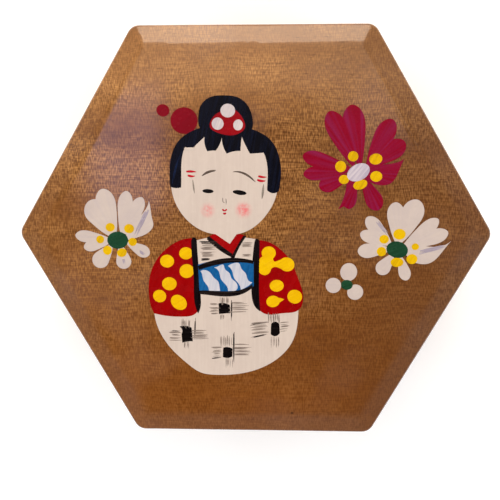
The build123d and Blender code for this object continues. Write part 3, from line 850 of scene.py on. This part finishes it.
@dataclass
class VelvetLining:
    """A low, flat-topped velvet cushion on the floor and a thin padded panel on each wall."""

    voxel: float = 1.5
    start_across: float = 0.985
    start_thick: float = 0.66
    pressure: float = 4.0
    frames: int = 20
    most_swell: float = 0.8
    wall_cuts: int = 18
    wall_sink: float = 0.45

    def build(self) -> None:
        """Make the cushion and the six wall pads."""
        velvet = VELVET.build()
        self.cushion(velvet)
        for node in sorted(n for n in frame["nodes"] if n.startswith("wall_pad")):
            self.wall(node, velvet)

    def cushion(self, velvet: bpy.types.Material) -> None:
        """Blow up a slightly smaller copy of the floor pad, kept inside the pad's place.

        Args:
            velvet: The cushion's cloth.
        """
        low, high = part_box("floor_pad")
        pad = copy_of("floor_pad", "floor_cushion")
        shares = (self.start_across, self.start_across, self.start_thick)
        with editing(pad):
            bpy.ops.transform.resize(value=shares, center_override=(0.0, 0.0, low.z))
        applied(pad, "REMESH", mode="VOXEL", voxel_size=self.voxel * MM)
        self.inflate(pad)
        for vertex in pad.data.vertices:
            vertex.co.z = max(vertex.co.z, low.z + 0.02 * MM)
            vertex.co.z = min(vertex.co.z, high.z)
        with editing(pad):
            bpy.ops.mesh.vertices_smooth(factor=0.5, repeat=3)
        applied(pad, "SUBSURF", levels=1, render_levels=1)
        bpy.ops.object.shade_smooth()
        settle(pad, velvet, "box", ("floor_pad",))

    def inflate(self, pad: bpy.types.Object) -> None:
        """Swell a pad with the cloth simulation, then pull its points back near where they were.

        Args:
            pad: The remeshed pad.
        """
        before = [vertex.co.copy() for vertex in pad.data.vertices]
        alone(pad)
        bpy.ops.object.modifier_add(type="CLOTH")
        cloth = pad.modifiers[-1]
        cloth.settings.use_pressure = True
        cloth.settings.uniform_pressure_force = self.pressure
        cloth.settings.effector_weights.gravity = 0.0
        cloth.point_cache.frame_start = 1
        cloth.point_cache.frame_end = self.frames
        for number in range(1, self.frames + 1):
            bpy.context.scene.frame_set(number)
        bpy.ops.object.modifier_apply(modifier=cloth.name)
        bpy.context.scene.frame_set(1)
        furthest = 0.0
        for vertex, start in zip(pad.data.vertices, before):
            moved = vertex.co - start
            furthest = max(furthest, moved.length)
            if moved.length > self.most_swell * MM:
                vertex.co = start + moved.normalized() * self.most_swell * MM
        log.info("%s swelled by up to %.2f mm", pad.name, furthest / MM)

    def wall(self, node: str, velvet: bpy.types.Material) -> None:
        """Pad one wall: its face is fullest in the middle and sinks to its edges.

        Args:
            node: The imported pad.
            velvet: The pad's cloth.
        """
        pad = copy_of(node, f"{node}_velvet")
        corners = [vertex.co for vertex in pad.data.vertices]
        middle = sum(corners, Vector()) / len(corners)
        inwards = Vector((-middle.x, -middle.y, 0)).normalized()
        along = Vector((-inwards.y, inwards.x, 0))
        half_long = max(abs((corner - middle).dot(along)) for corner in corners)
        half_high = max(abs(corner.z - middle.z) for corner in corners)
        face = max((corner - middle).dot(inwards) for corner in corners)
        with editing(pad):
            bpy.ops.mesh.subdivide(number_cuts=self.wall_cuts)
        for vertex in pad.data.vertices:
            place = vertex.co - middle
            if place.dot(inwards) > 0:
                sideways = min(abs(place.dot(along)) / half_long, 1.0)
                upwards = min(abs(place.z) / half_high, 1.0)
                fullness = (1 - sideways**8) * (1 - upwards**6)
                vertex.co -= inwards * (1 - fullness) * self.wall_sink * MM * place.dot(inwards) / face
        alone(pad)
        bpy.ops.object.shade_smooth_by_angle(angle=math.radians(50))
        settle(pad, velvet, "box", (node,))


@dataclass
class Hinges:
    """Two brass butt hinges with their pins and screws."""

    edge_round: float = 0.08

    def build(self) -> None:
        """Ease the brass edges and tarnish them."""
        brass = BRASS.build()
        names = [n for n in frame["nodes"] if n.startswith("hinge_") or n.endswith("_screws")]
        for node in sorted(names):
            piece = copy_of(node, f"{node}_brass")
            if "leaf" in node:
                eased(piece, self.edge_round, angle=50.0)
            smoothed(piece, 40.0)
            settle(piece, brass, body_of(node), (node,))


@dataclass
class LidBoard:
    """The lid's board with its rounded edge."""

    def build(self) -> None:
        """Smooth the rounded edge and varnish the board."""
        board = copy_of("lid_board", "lid_panel")
        smoothed(board, 35.0)
        settle(board, LID_CHESTNUT.build(), "lid", ("lid_board",))


@dataclass
class LidMirror:
    """The hexagonal mirror inside the lid, its backing card and its six beads."""

    def build(self) -> None:
        """Finish the glass, the card and the beads."""
        beads = copy_of("mirror_beads", "mirror_bead_frame")
        smoothed(beads, 35.0)
        settle(beads, BEAD_WOOD.build(), "lid", ("mirror_beads",))
        for node, finish in (("mirror_glass", MIRROR), ("mirror_card", GREY_BOARD)):
            dress(frame["nodes"][node], finish.build())
            log.info("%s: packed mesh, %s", node, finish.name)


LEFT_FLOWER: Point = (-40.7, -1.4)
SMALL_FLOWER: Point = (29.2, -15.4)
RIGHT_FLOWER: Point = (43.9, -4.3)
RED_FLOWER: Point = (32.0, 18.6)

CREAM = BrushedEnamel("cream_enamel", "#CABBB0", "#C2B3A9", "#D6CABF", 0.3, turn=90)
ENAMELS: dict[str, BrushedEnamel] = {
    "painted_face": replace(
        CREAM,
        name="cream_enamel_face",
        blushes=(Blush(-13.3, 7.2, 2.1, 0.55), Blush(-2.7, 7.3, 2.3, 0.8)),
    ),
    "painted_kimono": replace(CREAM, name="cream_enamel_kimono"),
    "painted_hair_spots": BrushedEnamel(
        "white_enamel_spots", "#CDC2BF", "#BCB1B4", "#9C92A6", 0.45, turn=70
    ),
    "painted_sash_waves": BrushedEnamel(
        "white_enamel_waves", "#C8C6CC", "#B4BAC8", "#889ABA", 0.45, turn=80
    ),
    "painted_white_petals": BrushedEnamel(
        "white_enamel_petals",
        "#C6B8AF",
        "#BAACA8",
        "#A89DAA",
        0.2,
        bristle=0.9,
        centres=(LEFT_FLOWER, SMALL_FLOWER, RIGHT_FLOWER),
    ),
    "painted_red_flower_centre": BrushedEnamel(
        "white_enamel_centre", "#C8BEC4", "#B4AAB6", "#8E829E", 0.6, turn=50
    ),
    "painted_hair": BrushedEnamel("black_enamel_hair", "#06060C", "#0A0A14", "#141C34", 0.4, turn=80),
    "painted_eyes": BrushedEnamel("black_enamel_eyes", "#0A0809", "#120E0E", "#2A2422", 0.3),
    "painted_black_edges": BrushedEnamel(
        "black_enamel_edges", "#080405", "#100A0B", "#40342F", 0.4, bristle=0.3
    ),
    "painted_sleeve_bands": BrushedEnamel(
        "black_enamel_bands", "#070406", "#0E0809", "#281C1C", 0.35, turn=85
    ),
    "painted_kasuri_blocks": BrushedEnamel("black_enamel_kasuri", "#070405", "#0D0909", "#1E1816", 0.4),
    "painted_hair_cloth": BrushedEnamel(
        "red_enamel_cloth", "#8E0812", "#7C0610", "#A01A28", 0.3, turn=20
    ),
    "painted_collar": BrushedEnamel("red_enamel_collar", "#960406", "#7E0304", "#A61416", 0.3, turn=45),
    "painted_sleeves": BrushedEnamel(
        "red_enamel_sleeves", "#900103", "#7A0202", "#A00806", 0.35, turn=70, bristle=1.1
    ),
    "painted_bobbles": BrushedEnamel(
        "crimson_enamel_bobbles", "#7A0416", "#6C0310", "#8C1226", 0.25, turn=40
    ),
    "painted_red_petals": BrushedEnamel(
        "crimson_enamel_petals", "#840424", "#78041C", "#80285A", 0.5, bristle=0.8, centres=(RED_FLOWER,)
    ),
    "painted_sash": BrushedEnamel("blue_enamel_sash", "#165E98", "#10487C", "#0A3666", 0.5, turn=75),
    "painted_sleeve_dots": BrushedEnamel(
        "yellow_enamel_sleeves", "#E4B804", "#D6A402", "#D08E0C", 0.4, turn=30
    ),
    "painted_flower_dots": BrushedEnamel(
        "yellow_enamel_flowers", "#DCB208", "#C89A02", "#9C760C", 0.45, turn=60
    ),
    "painted_flower_centres": BrushedEnamel(
        "green_enamel", "#1A4029", "#143322", "#28563C", 0.35, turn=20
    ),
}


class Press(Enum):
    """How hard the brush presses at five places along a stroke, as shares of its width."""

    LIFTED = (0.55, 1.0, 0.95, 0.7, 0.15)
    ROUND = (0.7, 1.0, 1.0, 1.0, 0.7)
    SPINDLE = (0.15, 0.8, 1.0, 0.8, 0.15)
    HOOK = (1.0, 0.9, 0.8, 0.55, 0.15)


@dataclass(frozen=True)
class Stroke:
    """One touch of a fine brush: the points it passes in millimetres on the lid, and its width."""

    path: tuple[Point, ...]
    width: float
    press: Press = Press.SPINDLE

    def at(self, share: float) -> Point:
        """Find the place at a share of the way along the stroke.

        Args:
            share: The share, from zero to one.

        Returns:
            The place in millimetres.
        """
        runs = list(zip(self.path, self.path[1:]))
        lengths = [math.dist(start, end) for start, end in runs]
        left = share * sum(lengths)
        for (start, end), length in zip(runs, lengths):
            if left <= length or (start, end) == runs[-1]:
                part = min(left / length, 1.0)
                return start[0] + (end[0] - start[0]) * part, start[1] + (end[1] - start[1]) * part
            left -= length
        return self.path[-1]


@dataclass(frozen=True)
class DrySmear:
    """A nearly dry brush dragged once: separate bristle lines that start and stop unevenly."""

    start: Point
    end: Point
    spread: float
    bristles: int
    width: float = 0.16

    def strokes(self, draw: random.Random) -> list[Stroke]:
        """Split the smear into its bristle lines.

        Args:
            draw: The source of its unevenness.

        Returns:
            One stroke for each bristle line.
        """
        way = Vector(self.end) - Vector(self.start)
        side = Vector((-way.y, way.x)).normalized()
        lines = []
        for number in range(self.bristles):
            off = side * self.spread * ((number + 0.5) / self.bristles - 0.5 + draw.uniform(-0.08, 0.08))
            begin = Vector(self.start) + off + way * draw.uniform(0.0, 0.2)
            finish = Vector(self.end) + off - way * draw.uniform(0.0, 0.28)
            drift = side * draw.uniform(-0.12, 0.12)
            bend = (begin + finish) / 2 + drift
            lines.append(
                Stroke(
                    (tuple(begin), tuple(bend), tuple(finish)),
                    self.width * draw.uniform(0.6, 1.3),
                    draw.choice((Press.LIFTED, Press.SPINDLE)),
                )
            )
        return lines


@dataclass
class Brushwork:
    """A set of fine strokes in one colour, each a low ridge of paint on the films below."""

    name: str
    finish: BrushedEnamel
    slot: str
    strokes: list[Stroke]
    ridge: float = 0.16
    sink: float = 0.0

    def build(self) -> None:
        """Lay every stroke and make them one piece."""
        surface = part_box("painted_face")[1].z
        laid = [self.lay(stroke) for stroke in self.strokes]
        alone(*laid)
        bpy.ops.object.join()
        piece = bpy.context.object
        piece.name = piece.data.name = self.name
        bpy.ops.object.convert(target="MESH")
        piece = bpy.context.object
        piece.scale.z = self.ridge
        piece.location.z = surface - self.sink * MM
        bpy.ops.object.transform_apply(location=True, rotation=True, scale=True)
        with editing(piece):
            bpy.ops.mesh.remove_doubles(threshold=0.0005 * MM)
            bpy.ops.mesh.normals_make_consistent(inside=False)
        bpy.ops.object.shade_smooth()
        settle(piece, self.finish.build(), "lid")

    @staticmethod
    def lay(stroke: Stroke) -> bpy.types.Object:
        """Draw one stroke as a path that swells and thins.

        Args:
            stroke: The stroke.

        Returns:
            The path.
        """
        bpy.ops.curve.primitive_nurbs_path_add(location=(0, 0, 0))
        path = bpy.context.object
        path.data.bevel_depth = MM
        path.data.bevel_resolution = 1
        path.data.resolution_u = 3
        path.data.use_fill_caps = True
        points = path.data.splines[0].points
        for number, (point, press) in enumerate(zip(points, stroke.press.value)):
            x, y = stroke.at(number / (len(points) - 1))
            point.co = (x * MM, y * MM, 0.0, 1.0)
            point.radius = stroke.width / 2 * press
        return path


INK = BrushedEnamel("thinned_ink", "#1E1615", "#342A26", "#5A4C45", 0.5, coat=0.15, roughness=0.55)
WASH = BrushedEnamel("grey_wash", "#7A6C64", "#95877D", "#B5A79B", 0.6, coat=0.15, roughness=0.55)


@dataclass
class PaintedDoll:
    """The doll: its enamel films, and the brow, nose, lip, temple and cloth strokes over them."""

    weave_ink: tuple[DrySmear, ...] = (
        # the collar's shadow on the chest
        DrySmear((-16.0, -2.5), (-10.2, -2.6), 0.9, 5, 0.32),
        DrySmear((-15.6, -7.7), (-12.6, -7.6), 0.6, 4, 0.29),
        # the first block
        DrySmear((-6.3, -19.0), (-6.4, -27.3), 0.35, 2, 0.32),
        # the second
        DrySmear((-17.4, -25.2), (-17.6, -33.6), 0.35, 2, 0.32),
        DrySmear((-25.0, -29.7), (-21.6, -29.9), 0.7, 3, 0.29),
        # the third
        DrySmear((-5.7, -29.8), (-5.8, -40.0), 0.35, 2, 0.29),
        DrySmear((-12.6, -38.1), (-9.2, -37.6), 0.4, 2, 0.26),
        # the fourth
        DrySmear((-0.8, -27.5), (4.8, -26.7), 0.5, 3, 0.29),
        DrySmear((-0.6, -31.6), (4.6, -30.3), 0.5, 3, 0.26),
    )
    weave_wash: tuple[DrySmear, ...] = (
        DrySmear((-15.9, -4.0), (-10.4, -3.8), 1.6, 6, 0.39),
        DrySmear((-15.9, -6.0), (-10.9, -5.9), 1.6, 6, 0.39),
        DrySmear((-3.4, -3.2), (0.3, -3.1), 1.3, 5, 0.35),
        DrySmear((-3.2, -6.4), (0.0, -6.2), 0.8, 3, 0.35),
        DrySmear((-8.5, -18.8), (-8.6, -21.6), 3.0, 7, 0.35),
        DrySmear((-13.2, -22.8), (-9.6, -22.6), 3.4, 8, 0.39),
        DrySmear((-7.4, -22.0), (-1.1, -21.8), 3.2, 8, 0.39),
        DrySmear((-9.2, -24.2), (-9.4, -26.3), 1.2, 3, 0.32),
        DrySmear((-20.2, -25.8), (-20.3, -29.0), 3.2, 8, 0.35),
        DrySmear((-25.4, -31.2), (-21.3, -31.2), 3.2, 7, 0.39),
        DrySmear((-19.0, -30.9), (-13.3, -30.7), 3.2, 8, 0.39),
        DrySmear((-20.1, -32.6), (-20.2, -35.6), 1.8, 4, 0.32),
        DrySmear((-8.0, -30.7), (-8.0, -35.0), 3.2, 8, 0.35),
        DrySmear((-12.6, -36.0), (-9.0, -35.8), 3.4, 7, 0.39),
        DrySmear((-6.6, -35.4), (-0.2, -35.4), 3.6, 8, 0.39),
        DrySmear((-7.3, -37.6), (-7.3, -41.2), 2.6, 5, 0.32),
        DrySmear((6.5, -23.7), (6.6, -27.4), 3.6, 9, 0.39),
        DrySmear((-0.9, -28.9), (5.2, -28.4), 3.4, 9, 0.42),
        DrySmear((7.8, -28.0), (11.1, -27.7), 3.0, 6, 0.35),
        DrySmear((6.6, -30.6), (6.6, -34.8), 3.0, 5, 0.32),
    )

    def films(self) -> None:
        """Give every painted film its enamel."""
        for node, finish in ENAMELS.items():
            dress(frame["nodes"][node], finish.build())
            log.info("%s: packed mesh, %s", node, finish.name)

    def build(self) -> None:
        """Dress the films and paint the fine strokes."""
        self.films()
        draw = random.Random(SEED)
        Brushwork(
            "fringe_gap_strokes",
            replace(CREAM, name="cream_enamel_gap"),
            "paint_cream",
            [Stroke(((-20.2, 25.3), (-18.5, 25.35), (-16.8, 25.4)), 1.5, Press.ROUND)],
            ridge=0.2,
            sink=0.08,
        ).build()
        Brushwork(
            "brow_strokes",
            BrushedEnamel("brown_brow_wash", "#4A3D36", "#5D4F46", "#7C6E63", 0.5, coat=0.15),
            "paint_black",
            [
                Stroke(((-15.0, 17.4), (-13.4, 18.7), (-10.8, 19.1)), 0.95),
                Stroke(((-14.6, 17.5), (-12.8, 18.6), (-11.0, 18.8)), 0.3),
                Stroke(((-5.8, 18.6), (-3.6, 19.0), (-1.4, 18.0), (0.9, 15.6)), 0.8),
                Stroke(((-3.6, 18.6), (-1.5, 17.7), (0.4, 15.9)), 0.35),
            ],
        ).build()
        Brushwork(
            "side_lock_strokes",
            replace(WASH, name="grey_lock_wash", colour="#7E756B", thin="#94897E"),
            "paint_black",
            [
                Stroke(((-17.7, 16.4), (-17.5, 14.2), (-17.2, 12.2)), 0.62),
                Stroke(((3.3, 15.0), (3.1, 12.8), (2.8, 10.6)), 0.85),
            ],
        ).build()
        Brushwork(
            "nose_strokes",
            replace(WASH, name="grey_nose_wash", colour="#5E5650", thin="#6E655E"),
            "paint_black",
            [
                Stroke(((-8.8, 10.9), (-8.95, 9.6), (-8.5, 9.3), (-8.1, 9.5)), 0.26, Press.LIFTED),
                Stroke(((-7.9, 10.7), (-7.75, 9.6), (-7.9, 8.8)), 0.26, Press.LIFTED),
            ],
        ).build()
        Brushwork(
            "lip_strokes",
            BrushedEnamel("crimson_lip_enamel", "#B01626", "#9C1020", "#C8323E", 0.3),
            "paint_crimson",
            [
                Stroke(((-9.0, 7.5), (-8.5, 7.1), (-8.3, 7.0)), 0.5, Press.ROUND),
                Stroke(((-8.3, 7.0), (-8.0, 7.2), (-7.6, 7.5)), 0.5, Press.ROUND),
                Stroke(((-8.7, 6.3), (-8.3, 6.1), (-7.9, 6.4)), 0.6, Press.ROUND),
            ],
        ).build()
        Brushwork(
            "temple_strokes",
            BrushedEnamel("crimson_temple_enamel", "#BC1024", "#A80C1E", "#CC2C3C", 0.3),
            "paint_crimson",
            [
                Stroke(((-19.6, 18.7), (-18.0, 18.8), (-16.6, 18.6)), 0.8, Press.LIFTED),
                Stroke(((-19.2, 17.6), (-18.0, 17.2), (-17.0, 17.4)), 0.8, Press.LIFTED),
                Stroke(((1.7, 17.4), (2.9, 17.0), (4.2, 17.1)), 0.8, Press.LIFTED),
                Stroke(((1.4, 16.3), (2.6, 15.8), (3.9, 16.0)), 0.85, Press.LIFTED),
            ],
        ).build()
        # painted highlight: navy strokes down the side lock stand in for the gloss on the black hair
        Brushwork(
            "lock_sheen_strokes",
            BrushedEnamel("navy_sheen_enamel", "#141F3C", "#101830", "#22335A", 0.4),
            "paint_black",
            [
                Stroke(((-20.9, 24.6), (-22.6, 21.4), (-23.6, 17.2), (-23.9, 14.6)), 0.3),
                Stroke(((-21.6, 22.6), (-22.8, 19.2), (-23.2, 16.4)), 0.22),
            ],
        ).build()
        Brushwork(
            "kimono_ink_strokes",
            INK,
            "paint_black",
            [line for smear in self.weave_ink for line in smear.strokes(draw)],
        ).build()
        Brushwork(
            "kimono_wash_strokes",
            WASH,
            "paint_black",
            [line for smear in self.weave_wash for line in smear.strokes(draw)],
        ).build()


@dataclass
class PaintedFlowers:
    """The lavender shadows dragged through the petals while they were wet."""

    shadows: tuple[DrySmear, ...] = (
        DrySmear((-31.2, 7.6), (-35.4, -0.6), 1.3, 5, 0.5),
        DrySmear((48.8, -5.4), (57.6, -3.2), 1.1, 4, 0.42),
        DrySmear((36.2, 4.6), (40.6, -0.6), 1.0, 3, 0.4),
        DrySmear((-38.9, -7.6), (-38.8, -9.2), 0.8, 3, 0.4),
        DrySmear((-34.0, -5.2), (-32.4, -6.4), 0.8, 3, 0.36),
    )

    def build(self) -> None:
        """Paint the shadows."""
        draw = random.Random(SEED)
        Brushwork(
            "petal_shadow_strokes",
            BrushedEnamel("lavender_wash", "#9A8F9E", "#AA9FAA", "#C0B6BE", 0.4, coat=0.1),
            "paint_white",
            [line for smear in self.shadows for line in smear.strokes(draw)],
        ).build()


@dataclass(frozen=True)
class Softbox:
    """One soft square light, and whether gloss mirrors it or it only fills."""

    name: str
    place: tuple[float, float, float]
    size: Point
    watts: float
    colour: str = "#FFFFFF"
    aim: tuple[float, float, float] = (0.0, 0.0, 0.0)
    mirrored: bool = True

    def hang(self) -> None:
        """Hang the light where it belongs, facing its aim."""
        bpy.ops.object.light_add(type="AREA", location=self.place)
        light = bpy.context.object
        light.name = self.name
        light.data.shape = "RECTANGLE"
        light.data.size, light.data.size_y = self.size
        light.data.energy = self.watts
        light.data.color = linear(self.colour)[:3]
        light.visible_glossy = self.mirrored
        light.rotation_euler = (Vector(self.aim) - Vector(self.place)).to_track_quat("-Z", "Y").to_euler()


@dataclass
class Studio:
    """A pale table, soft lights all round and a camera above the lid."""

    table_size: float = 3.0
    fill_radius: float = 0.67
    fill_height: float = 0.74
    fill_size: float = 0.6
    fill_watts: float = 1.85
    fill_turns: tuple[float, ...] = (30.0, -30.0, -90.0, -150.0, 150.0)
    wall_top: float = 0.5
    ceiling: float = 0.88
    wall_light: float = 0.35
    ceiling_light: float = 0.03
    boxes: tuple[Softbox, ...] = (
        Softbox("back_softbox", (0.0, 0.77, 0.64), (0.6, 0.6), 5.6, "#FFEBD4"),
        Softbox("back_overhead", (0.0, 0.41, 1.06), (0.72, 0.72), 1.5, "#FFE9D6", (0.0, 0.41, 0.0)),
        Softbox("left_overhead", (-0.212, -0.026, 1.06), (0.1, 0.17), 0.12, "#CFCBFF", (-0.212, -0.026, 0.0)),
        Softbox("right_overhead", (0.13, 0.03, 1.06), (0.08, 0.12), 0.03, "#F0E0F4", (0.13, 0.03, 0.0)),
    )
    lens: float = 70.0
    camera_place: tuple[float, float, float] = (11.7, 40.9, 286.3)
    camera_turn: tuple[float, float, float] = (-7.96, 3.10, 0.21)
    camera_shift: Point = (0.0204, -0.0368)

    def build(self) -> None:
        """Set the table, the lights and the camera."""
        self.table()
        self.room()
        for box in (*self.boxes, *self.fills()):
            box.hang()
        self.camera()

    def table(self) -> None:
        """Lay a plain pale table under the box."""
        bpy.ops.object.select_all(action="DESELECT")
        bpy.ops.mesh.primitive_plane_add(size=self.table_size, location=(0, 0, 0))
        table = bpy.context.object
        table.name = "studio_table"
        dress(table, Plain("pale_paper", "#FFFFFF", "#FCFCFC", (4.0, 4.0, 4.0), 0.02, 0.22).build())

    def room(self) -> None:
        """Make the room pale at its walls and dim above."""
        world = bpy.data.worlds.new("dim_room")
        world.use_nodes = True
        bpy.context.scene.world = world
        tree = world.node_tree
        way = add(tree, "ShaderNodeTexCoord")
        upright = add(tree, "ShaderNodeSeparateXYZ", {0: way.outputs["Generated"]})
        dim = add(
            tree,
            "ShaderNodeMapRange",
            {
                "Value": upright.outputs["Z"],
                "From Min": self.wall_top,
                "From Max": self.ceiling,
                "To Min": self.wall_light,
                "To Max": self.ceiling_light,
            },
        )
        background = tree.nodes["Background"]
        background.inputs["Color"].default_value = linear("#FFFFFF")
        tree.links.new(dim.outputs["Result"], background.inputs["Strength"])

    def fills(self) -> list[Softbox]:
        """Spread plain fill lights round the sides and the front.

        Returns:
            The fill lights.
        """
        lights = []
        for number, turn in enumerate(self.fill_turns, 1):
            angle = math.radians(turn)
            place = (self.fill_radius * math.cos(angle), self.fill_radius * math.sin(angle), self.fill_height)
            size = (self.fill_size, self.fill_size)
            lights.append(Softbox(f"fill_{number}", place, size, self.fill_watts, mirrored=False))
        return lights

    def camera(self) -> None:
        """Look down at the lid, leaning a little towards the front."""
        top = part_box("lid_board")[1].z
        x, y, height = (value * MM for value in self.camera_place)
        bpy.ops.object.camera_add(location=(x, y, top + height))
        camera = bpy.context.object
        camera.rotation_mode = "YXZ"
        camera.rotation_euler = tuple(math.radians(angle) for angle in self.camera_turn)
        camera.data.lens = self.lens
        camera.data.shift_x, camera.data.shift_y = self.camera_shift
        camera.data.clip_start = 0.01
        bpy.context.scene.camera = camera


def main() -> None:
    """Build the box in order, from its sole to its studio."""
    logging.basicConfig(level=logging.INFO, format="%(message)s")
    bpy.context.scene.view_settings.view_transform = "Standard"
    for part in (
        Carcass(),
        FeltSole(),
        VelvetLining(),
        Hinges(),
        LidBoard(),
        LidMirror(),
        PaintedDoll(),
        PaintedFlowers(),
        Studio(),
    ):
        log.info("building the %s", type(part).__name__)
        part.build()


if __name__ == "__main__":
    main()
